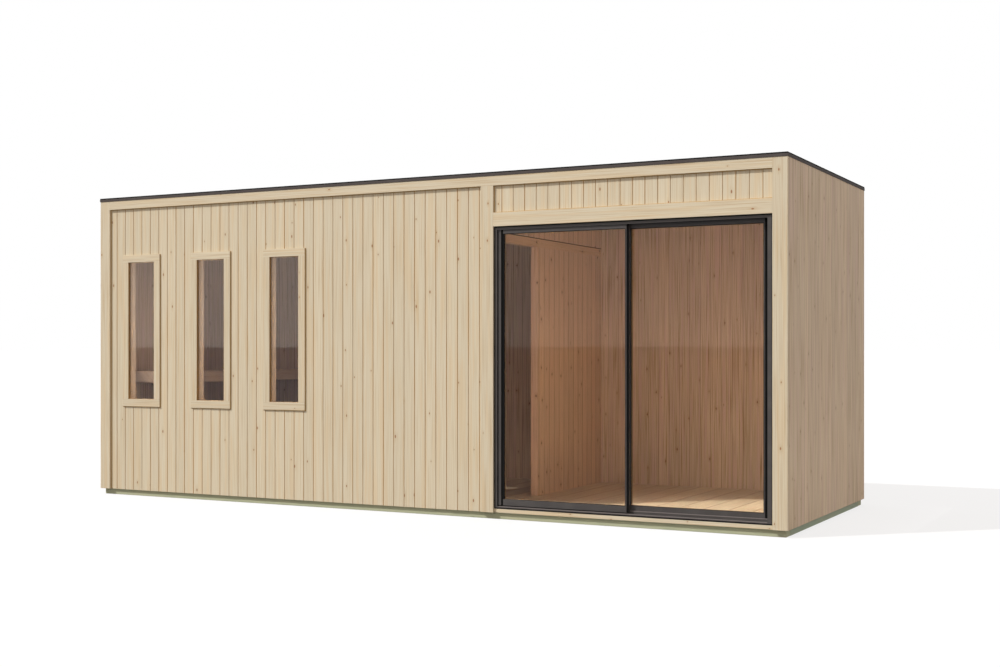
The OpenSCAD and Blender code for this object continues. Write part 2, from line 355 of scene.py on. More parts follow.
            # The edges of two boards meet here, browner than the faces.
            edge = add("Math", [count, 0.5], operation="PINGPONG")
            ends = [self.joint / self.strip / 2 * share for share in self.joint_edge]
            near = add("MapRange", [edge, *ends, 0.0, 1.0], **SMOOTH)
            patchy = add("MapRange", [figure, *self.joint_patches, *self.joint_share], **SMOOTH)
            layers.append((add("Math", [near, patchy], operation="MULTIPLY"), self.joint_tint))
        colour = linear(self.face)
        for share, tint in layers:
            colour = add("Mix", {0: share, 6: colour, 7: linear(tint)}, 2, **COLOURS)
        tones = (1 - self.tone, 1 + self.tone)
        tone = add("MapRange", [lot.outputs["Value"], 0.0, 1.0, *tones], **SMOOTH)
        colour = add("HueSaturation", {"Color": colour, "Value": tone})

        dent = add("Math", [core, self.knot_relief], operation="MULTIPLY")
        height = add("Math", [fibre, dent], operation="ADD")
        relief = {"Strength": self.relief_strength, "Distance": self.relief / 1000}
        bump = add("Bump", {"Height": height, **relief})
        dull = (self.roughness - self.roughness_swing, self.roughness + self.roughness_swing)
        rough = add("MapRange", [fibre, *self.roughness_edge, *dull], **SMOOTH)
        inputs = {"Base Color": colour, "Roughness": rough, "Normal": bump, "IOR": 1.5}
        add("OutputMaterial", {"Surface": add("BsdfPrincipled", inputs)}, None)
        return made


@dataclass(frozen=True)
class CoatedMetal:
    """Aluminium or steel under a matt powder coat, with the coat's fine orange peel.

    The colours are sRGB hex values, and the patterns and the relief are in millimetres. An
    edge holds the two levels of the noise between which a change comes in.
    """

    name: str
    face: str
    dust: float = 0.06
    dust_tint: str = "9a948c"
    dust_patch: float = 1000 / 9
    dust_detail: float = 4.0
    dust_edge: Span = (0.4, 0.75)
    peel: float = 1.6
    peel_relief: float = 0.1
    peel_strength: float = 0.12
    roughness: float = 0.42
    roughness_swing: Span = (-0.05, 0.07)
    roughness_edge: Span = (0.3, 0.7)
    shine: float = 0.3

    def material(self) -> bpy.types.Material:
        """Builds the coat from its colour, a faint cloud of dust and its peel.

        Returns:
            The material.
        """
        made, graph = new_material(self.name)
        add = graph.add
        place = add("TexCoord", out="Object")
        spots = {"Scale": 1000 / self.dust_patch, "Detail": self.dust_detail}
        cloud = add("TexNoise", {"Vector": place, **spots})
        share = add("MapRange", [cloud, *self.dust_edge, 0.0, self.dust], **SMOOTH)
        mix = {0: share, 6: linear(self.face), 7: linear(self.dust_tint)}
        colour = add("Mix", mix, 2, **COLOURS)
        # The real peel is about 0.3 mm across; it is drawn wider so that it shows.
        peel = add("TexNoise", {"Vector": place, "Scale": 1000 / self.peel, "Detail": 1.0})
        relief = {"Strength": self.peel_strength, "Distance": self.peel_relief / 1000}
        bump = add("Bump", {"Height": peel, **relief})
        dull = [self.roughness + swing for swing in self.roughness_swing]
        rough = add("MapRange", [cloud, *self.roughness_edge, *dull], **SMOOTH)
        inputs = {"Base Color": colour, "Roughness": rough, "Normal": bump, "IOR": 1.5}
        surface = add("BsdfPrincipled", {**inputs, "Specular IOR Level": self.shine})
        add("OutputMaterial", {"Surface": surface}, None)
        return made


@dataclass(frozen=True)
class Rubber:
    """Rubber, sealant, pile or roofing sheet: nearly matt, a little dusty.

    The colours are sRGB hex values, and the patterns and the relief are in millimetres. The
    edge holds the two levels of the noise between which the dust comes in.
    """

    name: str
    face: str
    grain: float = 3.0
    grain_detail: float = 2.0
    relief: float = 0.1
    relief_strength: float = 0.4
    roughness: float = 0.8
    shine: float = 0.15
    cloud: float = 0.25
    cloud_tint: str = "77726a"
    cloud_patch: float = 1000 / 1.4
    cloud_detail: float = 5.0
    cloud_edge: Span = (0.4, 0.8)

    def material(self) -> bpy.types.Material:
        """Builds the rubber from its colour, a dusty cloud and its grain.

        Returns:
            The material.
        """
        made, graph = new_material(self.name)
        add = graph.add
        place = add("TexCoord", out="Object")
        spots = {"Scale": 1000 / self.cloud_patch, "Detail": self.cloud_detail}
        cloud = add("TexNoise", {"Vector": place, **spots})
        dusty = add("MapRange", [cloud, *self.cloud_edge, 0.0, self.cloud], **SMOOTH)
        mix = {0: dusty, 6: linear(self.face), 7: linear(self.cloud_tint)}
        colour = add("Mix", mix, 2, **COLOURS)
        spots = {"Scale": 1000 / self.grain, "Detail": self.grain_detail}
        grain = add("TexNoise", {"Vector": place, **spots})
        relief = {"Strength": self.relief_strength, "Distance": self.relief / 1000}
        bump = add("Bump", {"Height": grain, **relief})
        inputs = {"Base Color": colour, "Roughness": self.roughness, "Normal": bump}
        shine = {"IOR": 1.5, "Specular IOR Level": self.shine}
        surface = add("BsdfPrincipled", {**inputs, **shine})
        add("OutputMaterial", {"Surface": surface}, None)
        return made


@dataclass(frozen=True)
class Glazing:
    """Float glass, clear or tinted in the mass, that lets lamps light what is behind it.

    The colours are sRGB hex values and the dust's patches are in millimetres. The edge holds
    the two levels of the noise between which the dust comes in.
    """

    name: str
    tint: str
    ior: float
    film: float = 0.02
    film_tint: str = "b8b2a8"
    film_patch: float = 1000 / 3
    film_detail: float = 4.0
    film_edge: Span = (0.35, 0.75)

    def material(self) -> bpy.types.Material:
        """Builds the glass from its tint, its shine and a barely seen film of dust.

        Returns:
            The material.
        """
        made, graph = new_material(self.name)
        add = graph.add
        place = add("TexCoord", out="Object")
        spots = {"Scale": 1000 / self.film_patch, "Detail": self.film_detail}
        cloud = add("TexNoise", {"Vector": place, **spots})
        share = add("MapRange", [cloud, *self.film_edge, 0.0, self.film], **SMOOTH)
        mix = {0: share, 6: linear(self.tint), 7: linear(self.film_tint)}
        inputs = {
            "Base Color": add("Mix", mix, 2, **COLOURS),
            "Roughness": 0.0,
            "IOR": self.ior,
            "Transmission Weight": 1.0,
        }
        pane = add("BsdfPrincipled", inputs)
        # A lamp's ray meets the tint twice in each pane, so each meeting takes its root.
        root = [part**0.5 for part in linear(self.tint)]
        through = add("BsdfTransparent", {"Color": root})
        lamp = add("LightPath", out="Is Shadow Ray")
        surface = add("MixShader", {0: lamp, 1: pane, 2: through})
        add("OutputMaterial", {"Surface": surface}, None)
        return made


class Finishes:
    """Every finish of the cabin, made once each and handed out by name."""

    def __init__(self, board_start: float, floor_start: float) -> None:
        """Lists the finishes.

        Args:
            board_start: Where a cladding board's edge lies, as x plus y in metres.
            floor_start: Where the first floorboard's edge lies, as x plus z in metres.
        """
        # Planed spruce boards: pale straw, with fine fibres and small brown knots.
        front = dict(
            start=board_start, joint=6.5, joint_share=(0.3, 0.85), joint_tint="c89858",
            knot="945c30", knot_chance=0.22, knot_gap=260.0, knot_radii=(5.0, 11.0),
        )
        # Flat trim: the same spruce in wider boards, with softer late wood.
        trim = dict(strip=140.0, knot="9c6030", late="bc9c6c")
        # Laminated spruce: narrow lamellas side by side, glued, sanded flat.
        panel = dict(
            joint=5.0, joint_share=(0.1, 0.6), joint_tint="84603c", tone=0.05,
            face="dec7a6", late="a88458", fibre=(6.0, 600.0), fibre_share=0.8,
            resin="dabba6", resin_share=0.65, dark_lines=0.6, knot_gap=380.0, knot_chance=0.5,
        )
        # The same panels indoors: warmer, with darker knots and joints.
        inside = panel | dict(
            joint=6.0, joint_share=(0.35, 0.9), joint_tint="6a4428",
            face="e0c4a0", late="b08660", fibre=(3.5, 420.0), fibre_share=0.5,
            resin="dab694", resin_share=0.35, dark_lines=0.4,
            knot="3c2012", knot_radii=(6.0, 9.0), knot_chance=0.6, knot_gap=300.0,
        )
        # A single level board: no joints, a little darker.
        plain = inside | dict(joint=0.0, face="dabb90")
        # Planed floorboards: greyer, each with a tone of its own. A real joint is about
        # 4 mm with its arrises; it is drawn wider so that it shows.
        floor = dict(
            strip=178.125, start=floor_start, joint=9.0, joint_tint="8a5438",
            joint_share=(0.3, 0.8), face="d6c7a8", late="b8966e", resin="d6b898",
            roughness=0.5, tone=0.08,
        )
        # Bench boards: pale and nearly free of knots.
        pale = dict(strip=95.0, knot_chance=0.05, face="f0dec2", late="d4b48c")
        # Rough-sawn pine, green from the preservative: coarse, dull, a little uneven.
        sawn = dict(fibre=(3.5, 160.0), relief=0.6, roughness=0.85)
        along = sawn | dict(face="bcbe9c", late="9ca484", resin="c0b894", knot="6a6a48")
        # The cross bearers show at the shaded end: this copy is bluer and lighter, a painted tint
        # of sky light in shade.
        across = sawn | dict(face="a8b49a", late="8e9c88", resin="b0b096", knot="586048")
        self.made: dict[str, bpy.types.Material] = {}
        for finish in (
            WoodFinish("spruce_boards_upright", Axis.Z, **front),
            WoodFinish("spruce_trim_upright", Axis.Z, start=0.02, knot_chance=0.5, **trim),
            WoodFinish("spruce_trim_level", Axis.X, start=0.05, knot_chance=0.45, **trim),
            WoodFinish("laminated_spruce_outside", Axis.Z, **panel),
            WoodFinish("laminated_spruce_inside", Axis.Z, **inside),
            WoodFinish("laminated_spruce_ceiling", Axis.Y, **inside),
            WoodFinish("laminated_spruce_level", Axis.Y, **plain),
            # Planed lining boards: pale and even.
            WoodFinish("spruce_lining", Axis.Z, face="e6d0ac", late="c49c70", tone=0.03),
            WoodFinish("spruce_floorboards", Axis.Y, **floor),
            WoodFinish("bench_slats", Axis.Y, **pale),
            WoodFinish("treated_pine_along", Axis.X, **along),
            WoodFinish("treated_pine_across_sky_tint", Axis.Y, **across),
            # Extruded aluminium, powder coated anthracite: dark warm grey, satin.
            CoatedMetal("anthracite_aluminium", "4c4846"),
            # Folded steel edge, powder coated: the same grey, a little flatter.
            CoatedMetal("anthracite_steel", "56504e", roughness=0.6, shine=0.04),
            # Gaskets, seal and roof strip: black, matt.
            Rubber("black_rubber", "0c0b0a", cloud=0.03),
            # Running rails: the frame's coat drawn lighter, a painted highlight on the ribs' lit
            # tops.
            CoatedMetal("highlight_aluminium", "7c7470", roughness=0.35, dust=0.0),
            # Brown glazing sealant: a smooth, rubbery line between wood and glass.
            Rubber("brown_sealant", "ac8758", cloud=0.05),
            # Amber lines between the boards and the flat trim: painted warm shade, a golden tint
            # for the trim's shadows there.
            Rubber("amber_painted_shade", "b8904c", cloud=0.05),
            # Brush pile: black, quite matt, finely ribbed.
            Rubber("black_pile", "0e0d0c", grain=1.2, relief=0.3, roughness=0.95, cloud=0.03),
            # Roofing sheet: near black, gritty.
            Rubber("roofing_sheet", "1c1c20", grain=2.0, relief=0.3),
            # Spacer bars of the door's sealed units: champagne, satin.
            CoatedMetal("champagne_aluminium", "b49470", roughness=0.4),
            # Low-reflection glass: water clear, with a coat that takes most of its mirror away.
            Glazing("low_reflection_glass", "fdfcfa", 1.23),
            # Plain float glass with a breath of bronze; the mirror is that of one pane.
            Glazing("bronze_float_glass", "fbf7f3", 1.38),
        ):
            self.made[finish.name] = finish.material()

    def __getitem__(self, name: str) -> bpy.types.Material:
        """The material of that name."""
        return self.made[name]

    def dress(self, nodes: Iterable[str], name: str) -> None:
        """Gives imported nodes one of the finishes.

        Args:
            nodes: Names of nodes whose shapes stay as packed.
            name: The finish.
        """
        for node in nodes:
            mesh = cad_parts[node].data
            mesh.materials.clear()
            mesh.materials.append(self.made[name])


# ---- mesh making


class Shape:
    """Collects closed solids and turns them into one piece."""

    def __init__(self) -> None:
        """Starts with no solids."""
        self.mesh = bmesh.new()

    def block(self, low: Corner, high: Corner, arris: float = 0.0) -> "Shape":
        """Adds a box between two corners.

        Args:
            low: The lowest corner.
            high: The highest corner.
            arris: Radius of its rounded edges, or 0 for sharp ones.

        Returns:
            The shape itself.
        """
        made = bmesh.ops.create_cube(self.mesh, size=1.0)["verts"]
        for vert in made:
            vert.co = Vector([lo if c < 0 else hi for c, lo, hi in zip(vert.co, low, high)])
        if arris:
            edges = list({edge for vert in made for edge in vert.link_edges})
            rounding = {"offset": arris, "segments": 2, "profile": 0.5, "affect": "EDGES"}
            bmesh.ops.bevel(self.mesh, geom=edges, **rounding)
        return self

    def prism(self, outline: Sequence[Span], along: Axis, span: Span) -> None:
        """Adds an outline drawn out along an axis.

        Args:
            outline: Corners in the plane of the two other axes, in their order.
            along: The axis of the extrusion.
            span: Where it starts and ends on that axis.
        """
        rings = []
        for end in span:
            ring = []
            for a, b in outline:
                place = [a, b]
                place.insert(along.value, end)
                ring.append(self.mesh.verts.new(place))
            rings.append(ring)
        self.mesh.faces.new(rings[0])
        self.mesh.faces.new(rings[1])
        for i in range(len(outline)):
            j = (i + 1) % len(outline)
            self.mesh.faces.new((rings[0][i], rings[0][j], rings[1][j], rings[1][i]))

    def frame(
        self,
        low: Corner,
        high: Corner,
        bar: float,
        run: Axis = Axis.Z,
        over: Axis = Axis.X,
        arris: float = 0.0,
    ) -> "Shape":
        """Adds four bars round a rectangle, two over its full length and two between them.

        Args:
            low: The lowest outer corner.
            high: The highest outer corner.
            bar: Width of each bar.
            run: The axis of the two full bars.
            over: The axis of the two between them.
            arris: Radius of the bars' rounded edges, or 0 for sharp ones.

        Returns:
            The shape itself.
        """
        start, end = list(low), list(high)
        for axis in (over.value, run.value):
            near, far = list(end), list(start)
            near[axis] = start[axis] + bar
            far[axis] = end[axis] - bar
            self.block(start, near, arris)
            self.block(far, end, arris)
            start[axis] += bar
            end[axis] -= bar
        return self

    def piece(
        self,
        name: str,
        finish: bpy.types.Material,
        slot: Slot,
        body: Body = Body.CABIN,
        replaces: Sequence[str] = (),
    ) -> None:
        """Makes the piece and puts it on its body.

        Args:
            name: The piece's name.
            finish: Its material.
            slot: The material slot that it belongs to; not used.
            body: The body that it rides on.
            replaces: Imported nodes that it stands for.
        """
        bmesh.ops.recalc_face_normals(self.mesh, faces=self.mesh.faces)
        data = bpy.data.meshes.new(name)
        self.mesh.to_mesh(data)
        self.mesh.free()
        data.materials.append(finish)
        made = new_object(name, data)
        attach(made, body.value)
        if replaces:
            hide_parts(*replaces)
        log.info("%s: %d faces", name, len(data.polygons))


def sealed_unit(node: str, pane: float, bar: float) -> tuple[Shape, Shape]:
    """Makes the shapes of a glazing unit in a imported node's place.

    Args:
        node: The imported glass.
        pane: Thickness of each of the two panes.
        bar: Width of the spacer between them.

    Returns:
        The two panes and the spacer.
    """
    low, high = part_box(node)
    inner = (low.y + pane, high.y - pane)
    panes = Shape().block(low, (high.x, inner[0], high.z))
    panes.block((low.x, inner[1], low.z), high)
    return panes, Shape().frame((low.x, inner[0], low.z), (high.x, inner[1], high.z), bar)


@dataclass
class Assembly:
    """A sub-assembly, dressed with the cabin's finishes. Its sizes are in metres."""

    finishes: Finishes

    def make(self, shape: Shape, name: str, finish: str, slot: Slot, *replaces: str) -> None:
        """Turns a shape into a piece of the cabin's fixed body, by its finish's name."""
        shape.piece(name, self.finishes[finish], slot, replaces=replaces)


# ---- the front


def board_edge() -> float:
    """Where one of the front boards' edges lies: on the first window's middle line."""
    low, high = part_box("window_1_casing")
    return (low.x + high.x) / 2


@dataclass
class Cladding(Assembly):
    """Upright tongue-and-groove boards over the front panel.

    A board's arrises make the shallow groove between two boards. A sliver is the share of
    a board that isn't worth an edge of its own.
    """

    pitch: float = 0.090
    gap: float = 0.002
    arris: float = 0.0025
    tongue_set: float = 0.006
    tongue: float = 0.006
    window_lap: float = 0.040
    narrowest: float = 0.012
    sliver: float = 0.05

    def edges(self, span: Span) -> list[float]:
        """Finds the board edges within a span.

        Args:
            span: Where the boards start and end in x.

        Returns:
            The edges, the span's two ends included.
        """
        origin = board_edge()
        first = math.ceil((span[0] - origin) / self.pitch + self.sliver)
        last = math.floor((span[1] - origin) / self.pitch - self.sliver)
        return [span[0], *(origin + i * self.pitch for i in range(first, last + 1)), span[1]]

    def board(self, shape: Shape, x: Span, y: Span, z: Span) -> None:
        """Adds one board and the tongue on its right edge.

        Args:
            shape: The shape that takes the board.
            x: The board's share of the front, with half a gap at each side.
            y: Its face and its back.
            z: Its foot and its top.
        """
        half_gap, arris = self.gap / 2, self.arris
        left, right, near = x[0] + half_gap, x[1] - half_gap, y[0] + self.tongue_set
        tip, far = right + self.gap, near + self.tongue
        low, high = (left, y[0] + arris), (right, y[0] + arris)
        face = [low, (left + arris, y[0]), (right - arris, y[0]), high]
        tongue = [(right, near), (tip, near), (tip, far), (right, far)]
        shape.prism([(left, y[1]), *face, *tongue, (right, y[1])], Axis.Z, z)

    def field(self, node: str, holes: Sequence[tuple[Span, Span]]) -> Shape:
        """Boards a packed cladding slab, leaving out its window holes.

        Args:
            node: The slab.
            holes: Each hole's span in x and in z.

        Returns:
            The boards.
        """
        low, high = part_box(node)
        shape = Shape()
        y = (low.y, high.y)
        edges = self.edges((low.x, high.x))
        for x0, x1 in zip(edges, edges[1:]):
            hit = [h for h in holes if h[0][0] < x1 and h[0][1] > x0]
            if not hit:
                self.board(shape, (x0, x1), y, (low.z, high.z))
                continue
            (h0, h1), (z0, z1) = hit[0]
            self.board(shape, (x0, x1), y, (low.z, z0))
            self.board(shape, (x0, x1), y, (z1, high.z))
            for rest in ((x0, min(x1, h0)), (max(x0, h1), x1)):
                if rest[1] - rest[0] > self.narrowest:
                    self.board(shape, rest, y, (z0, z1))
        return shape

    def build(self) -> None:
        """Boards the sauna's front and the strip over the door."""
        holes = []
        for n in (1, 2, 3):
            low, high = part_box(f"window_{n}_casing")
            lap = self.window_lap
            holes.append(((low.x + lap, high.x - lap), (low.z + lap, high.z - lap)))
        for name, node, gone in (
            ("sauna_front_boards", "sauna_cladding", holes),
            ("over_door_boards", "lobby_cladding", []),
        ):
            boards = self.field(node, gone)
            self.make(boards, name, "spruce_boards_upright", Slot.BOARDS, node)


@dataclass
class FrontTrim(Assembly):
    """The flat boards on the front: corners, seam, roof edge, head and sill."""

    arris: float = 0.0015
    line: float = 0.004
    line_proud: float = 0.003

    def build(self) -> None:
        """Makes the three upright and the three level boards."""
        for name, node, finish in (
            ("corner_trim_left", "left_corner_board", "spruce_trim_upright"),
            ("corner_trim_right", "right_corner_board", "spruce_trim_upright"),
            ("seam_trim", "seam_board", "spruce_trim_upright"),
            ("roof_edge_trim", "fascia_board", "spruce_trim_level"),
            ("door_head_trim", "door_head_board", "spruce_trim_level"),
            ("door_sill_trim", "sill_board", "spruce_trim_level"),
        ):
            shape = Shape().block(*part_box(node), self.arris)
            self.make(shape, name, finish, Slot.BOARDS, node)
        self.shade_lines()

    def shade_lines(self) -> None:
        """Runs a thin amber line where boards end at the flat trim: painted warm shade for the
        trim's shadows.
        """
        names = ("left_corner_board", "seam_board", "right_corner_board")
        left, seam, right = (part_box(name) for name in names)
        top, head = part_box("fascia_board")[0].z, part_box("door_head_board")[1].z
        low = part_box("sauna_cladding")[0]
        line, y = self.line, (low.y - self.line_proud, low.y)
        shape = Shape()
        x = (left[1].x, seam[0].x)
        shape.block((x[0], y[0], low.z), (x[0] + line, y[1], top - line))
        shape.block((x[1] - line, y[0], low.z), (x[1], y[1], top - line))
        shape.block((x[0], y[0], top - line), (x[1], y[1], top))
        shape.frame((seam[1].x, y[0], head), (right[0].x, y[1], top), line)
        for n in (1, 2, 3):
            start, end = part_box(f"window_{n}_casing")
            under = start.z - line
            shape.block((start.x - line, y[0], under), (start.x, y[1], end.z))
            shape.block((end.x, y[0], under), (end.x + line, y[1], end.z))
            shape.block((start.x, y[0], under), (end.x, y[1], start.z))
        self.make(shape, "trim_shade_lines", "amber_painted_shade", Slot.BOARDS)


@dataclass
class Windows(Assembly):
    """Fixed windows: casing boards, lined opening, a line of sealant and two panes."""

    casing: float = 0.060
    arris: float = 0.0015
    pane: float = 0.004
    bead: float = 0.002
    bead_set: float = 0.002
    spacer: float = 0.009

    def build(self) -> None:
        """Makes each window and dresses the openings' linings."""
        self.finishes.dress(["window_liners"], "spruce_lining")
        for n in (1, 2, 3):
            self.casing_boards(n)
            self.glazing(n)

    def casing_boards(self, n: int) -> None:
        """Makes a window's flat casing: head and sill boards, and two boards between them.

        Args:
            n: The window's number.
        """
        node = f"window_{n}_casing"
        low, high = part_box(node)
        z = (low.z + self.casing, high.z - self.casing)
        level, upright = Shape(), Shape()
        level.block(low, (high.x, high.y, z[0]), self.arris)
        level.block((low.x, low.y, z[1]), high, self.arris)
        upright.block((low.x, low.y, z[0]), (low.x + self.casing, high.y, z[1]), self.arris)
        upright.block((high.x - self.casing, low.y, z[0]), (high.x, high.y, z[1]), self.arris)
        self.make(level, f"{node}_boards", "spruce_trim_level", Slot.BOARDS, node)
        self.make(upright, f"{node}_sides", "spruce_trim_upright", Slot.BOARDS)

    def glazing(self, n: int) -> None:
        """Makes a window's two panes, the spacer between them and the sealant in front.

        Args:
            n: The window's number.
        """
        node, slot = f"window_{n}_glass", Slot.WINDOW_GLASS
        panes, spacer = sealed_unit(node, self.pane, self.spacer)
        self.make(panes, f"window_{n}_panes", "bronze_float_glass", slot, node)
        self.make(spacer, f"window_{n}_spacer", "brown_sealant", slot)
        inner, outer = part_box(f"window_{n}_casing")
        edge = Vector((self.casing, 0, self.casing))
        start, end = inner + edge, outer - edge
        start.y, end.y = inner.y + self.bead_set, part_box(node)[0].y
        bead = Shape().frame(start, end, self.bead)
        self.make(bead, f"window_{n}_bead", "brown_sealant", slot)


# ---- sliding door


@dataclass
class Leaf(Assembly):
    """One glazed leaf of the door: panes, spacer, gaskets and pile strips.

    Two places nearer to each other than the value same are taken as one.
    """

    side: Side
    body: Body
    strip: float = 0.022
    groove: float = 0.016
    groove_depth: float = 0.010
    pile: float = 0.005
    pane: float = 0.004
    gasket: float = 0.003
    gasket_proud: float = 0.0015
    bead: float = 0.008
    bead_shade_strip: Span = (0.0005, 0.001)
    spacer: float = 0.012
    same: float = 1e-5

    def name(self, part: str) -> str:
        """A part's name on this leaf."""
        return f"{self.side.value}_leaf_{part}"

    def daylight(self) -> tuple[Vector, Vector]:
        """Finds the leaf's glass opening.

        Returns:
            Its lowest corner on the leaf's front face and its highest on the back face.
        """
        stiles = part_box(self.name("stiles"))
        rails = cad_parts[self.name("rails")].data.vertices
        low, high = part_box(self.name("rails"))
        middle = (low.z + high.z) / 2
        levels = [v.co.z for v in rails if abs(v.co.y - stiles[0].y) < self.same]
        z0, z1 = max(z for z in levels if z < middle), min(z for z in levels if z > middle)
        return Vector((low.x, stiles[0].y, z0)), Vector((high.x, stiles[1].y, z1))

    def build(self) -> None:
        """Dresses the leaf's metal and makes its glass, gaskets and pile."""
        self.finishes.dress([self.name("stiles"), self.name("rails")], "anthracite_aluminium")
        node, clear = self.name("glass"), self.finishes["low_reflection_glass"]
        panes, spacer = sealed_unit(node, self.pane, self.spacer)
        panes.piece(self.name("panes"), clear, Slot.DOOR_GLASS, self.body, [node])
        self.fit(spacer, "spacer", "champagne_aluminium")
        self.gaskets()
        self.pile_strips()

    def fit(self, shape: Shape, part: str, finish: str) -> None:
        """Makes one of the leaf's small metal or rubber parts."""
        shape.piece(self.name(part), self.finishes[finish], Slot.DOOR_METAL, self.body)

    def gaskets(self) -> None:
        """Makes the rubber lines that hold the glass, and the black strip on the left jamb's bead,
        which is painted shade of the stile.
        """
        (x0, y0, z0), (x1, y1, z1) = self.daylight()
        low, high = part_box(self.name("glass"))
        shape = Shape()
        proud = self.gasket_proud
        shape.frame((x0, y0 + proud, z0), (x1, low.y, z1), self.gasket)
        shape.frame((x0, high.y, z0), (x1, y1 - proud, z1), self.gasket)
        # Painted shade: a black rubber strip over the left leaf's jamb-side bead, where the stile's
        # shadow falls.
        if self.side is Side.LEFT:
            before, behind = self.bead_shade_strip
            shape.block((x0 - self.bead, y0 - before, z0), (x0, y0 + behind, z1))
        self.fit(shape, "gaskets", "black_rubber")

    def pile_strips(self) -> None:
        """Makes the black pile at the bottom of the grooves in both stiles."""
        low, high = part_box(self.name("stiles"))
        if self.side is Side.LEFT:
            places = (low.x + self.strip, high.x - self.groove)
        else:
            places = (high.x - self.strip - self.groove, low.x)
        shape = Shape()
        y = (low.y + self.groove_depth - self.pile, low.y + self.groove_depth)
        for x in places:
            shape.block((x, y[0], low.z), (x + self.groove, y[1], high.z))
        self.fit(shape, "pile", "black_pile")


@dataclass
class SlidingDoor(Assembly):
    """The door's fixed frame with its seal, and its two leaves.

    Two places nearer to each other than the value same are taken as one.
    """

    seal_set: float = 0.001
    rail: float = 0.005
    rail_width: float = 0.002
    rail_proud: float = 0.001
    rail_gap: float = 0.001
    rib_reach: float = 0.06
    jamb: float = 0.028
    same: float = 1e-4

    def build(self) -> None:
        """Dresses the frame, seals it to the boards and builds the leaves."""
        parts = [f"door_frame_{p}" for p in ("head", "track", "left_jamb", "right_jamb")]
        self.finishes.dress(parts, "anthracite_aluminium")
        self.seal()
        self.running_rails()
        Leaf(self.finishes, Side.LEFT, Body.LEFT_LEAF).build()
        Leaf(self.finishes, Side.RIGHT, Body.RIGHT_LEAF).build()

    def seal(self) -> None:
        """Makes the black seal between the frame and the boards round it."""
        head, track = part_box("door_frame_head"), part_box("door_frame_track")
        left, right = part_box("seam_board")[1].x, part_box("right_corner_board")[0].x
        bottom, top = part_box("sill_board")[1].z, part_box("door_head_board")[0].z
        y0, y1 = head[0].y + self.seal_set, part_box("sauna_cladding")[1].y
        shape = Shape()
        shape.block((left, y0, bottom), (head[0].x, y1, top))
        shape.block((head[1].x, y0, bottom), (right, y1, top))
        shape.block((head[0].x, y0, head[1].z), (head[1].x, y1, top))
        shape.block((head[0].x, y0, bottom), (head[1].x, y1, track[0].z))
        self.make(shape, "door_frame_seal", "black_rubber", Slot.DOOR_METAL)

    def running_rails(self) -> None:
        """Caps the track's ribs with bright strips, the front lip's and the middle rib's: a painted
        highlight of their lit tops.
        """
        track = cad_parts["door_frame_track"].data.vertices
        low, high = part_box("door_frame_track")
        side = self.jamb + self.rail_gap
        proud = self.rail_proud
        shape = Shape()
        # Each rib has a front and a back face; the first two front faces get a rail.
        for y in sorted({round(v.co.y, 5) for v in track})[:4:2]:
            rib = [v.co.z for v in track if abs(v.co.y - y) < self.same]
            top = max(z for z in rib if z < low.z + self.rib_reach)
            shape.block(
                (low.x + side, y - proud, top - self.rail),
                (high.x - side, y + self.rail_width, top + proud),
            )
        self.make(shape, "door_running_rails", "highlight_aluminium", Slot.DOOR_METAL)


# ---- rooms


@dataclass
class Rooms(Assembly):
    """Walls, floor, partition and ceiling."""

    floor_board: float = 0.178
    rail_shade_line_height: float = 0.006
    rail_shade_line_proud: float = 0.001
    floor_gap: float = 0.003
    arris: float = 0.002

    def build(self) -> None:
        """Dresses the panels and lays the floorboards."""
        dress = self.finishes.dress
        dress(["left_end_wall", "right_end_wall", "back_wall"], "laminated_spruce_outside")
        inner = ["front_wall", "door_header_panel", "right_door_post"]
        inner += [f"partition_{part}_panel" for part in ("back", "front", "upper")]
        dress(inner, "laminated_spruce_inside")
        dress(["partition_rail"], "laminated_spruce_level")
        self.rail_shade_line()
        dress(["ceiling_panel"], "laminated_spruce_ceiling")
        dress(["door_threshold"], "spruce_trim_level")
        self.floorboards()

    def rail_shade_line(self) -> None:
        """Lays a thin line of black pile along the top of the doorway's rail, on both sides:
        painted shade of the gap there.
        """
        low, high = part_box("partition_rail")
        proud, top = self.rail_shade_line_proud, high.z + self.rail_shade_line_height
        shape = Shape()
        shape.block((high.x, low.y, high.z), (high.x + proud, high.y, top))
        shape.block((low.x - proud, low.y, high.z), (low.x, high.y, top))
        self.make(shape, "rail_shade_line", "black_pile", Slot.PANELS)

    def floorboards(self) -> None:
        """Lays boards from front to back over the whole floor."""
        low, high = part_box("floor")
        count = round((high.x - low.x) / self.floor_board)
        step = (high.x - low.x) / count
        shape = Shape()
        arris, half_gap = self.arris, self.floor_gap / 2
        for i in range(count):
            x0, x1 = low.x + i * step + half_gap, low.x + (i + 1) * step - half_gap
            shoulder = high.z - arris
            top = [(x0, shoulder), (x0 + arris, high.z), (x1 - arris, high.z), (x1, shoulder)]
            shape.prism([(x0, low.z), *top, (x1, low.z)], Axis.Y, (low.y, high.y))
        self.make(shape, "floorboards", "spruce_floorboards", Slot.FLOOR, "floor")


@dataclass
class Bench(Assembly):
    """The slatted bench on its frames along the sauna's end wall."""

    slats: int = 6
    gap: float = 0.012
    arris: float = 0.004
    board: float = 0.028

    def build(self) -> None:
        """Makes the seat's slats and the face boards, and dresses the frames."""
        low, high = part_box("bench_seat")
        pitch = (high.x - low.x + self.gap) / self.slats
        seat = Shape()
        for i in range(self.slats):
            x = low.x + i * pitch
            seat.block((x, low.y, low.z), (x + pitch - self.gap, high.y, high.z), self.arris)
        self.make(seat, "bench_slats", "bench_slats", Slot.BENCH, "bench_seat")
        low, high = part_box("bench_fascia")
        face = Shape()
        face.block((high.x - self.board, low.y, low.z), high, self.arris)
        face.block(low, (high.x - self.board, low.y + self.board, high.z), self.arris)
        self.make(face, "bench_face_boards", "bench_slats", Slot.BENCH, "bench_fascia")
        self.finishes.dress(["bench_frames"], "spruce_lining")


# ---- roof and base


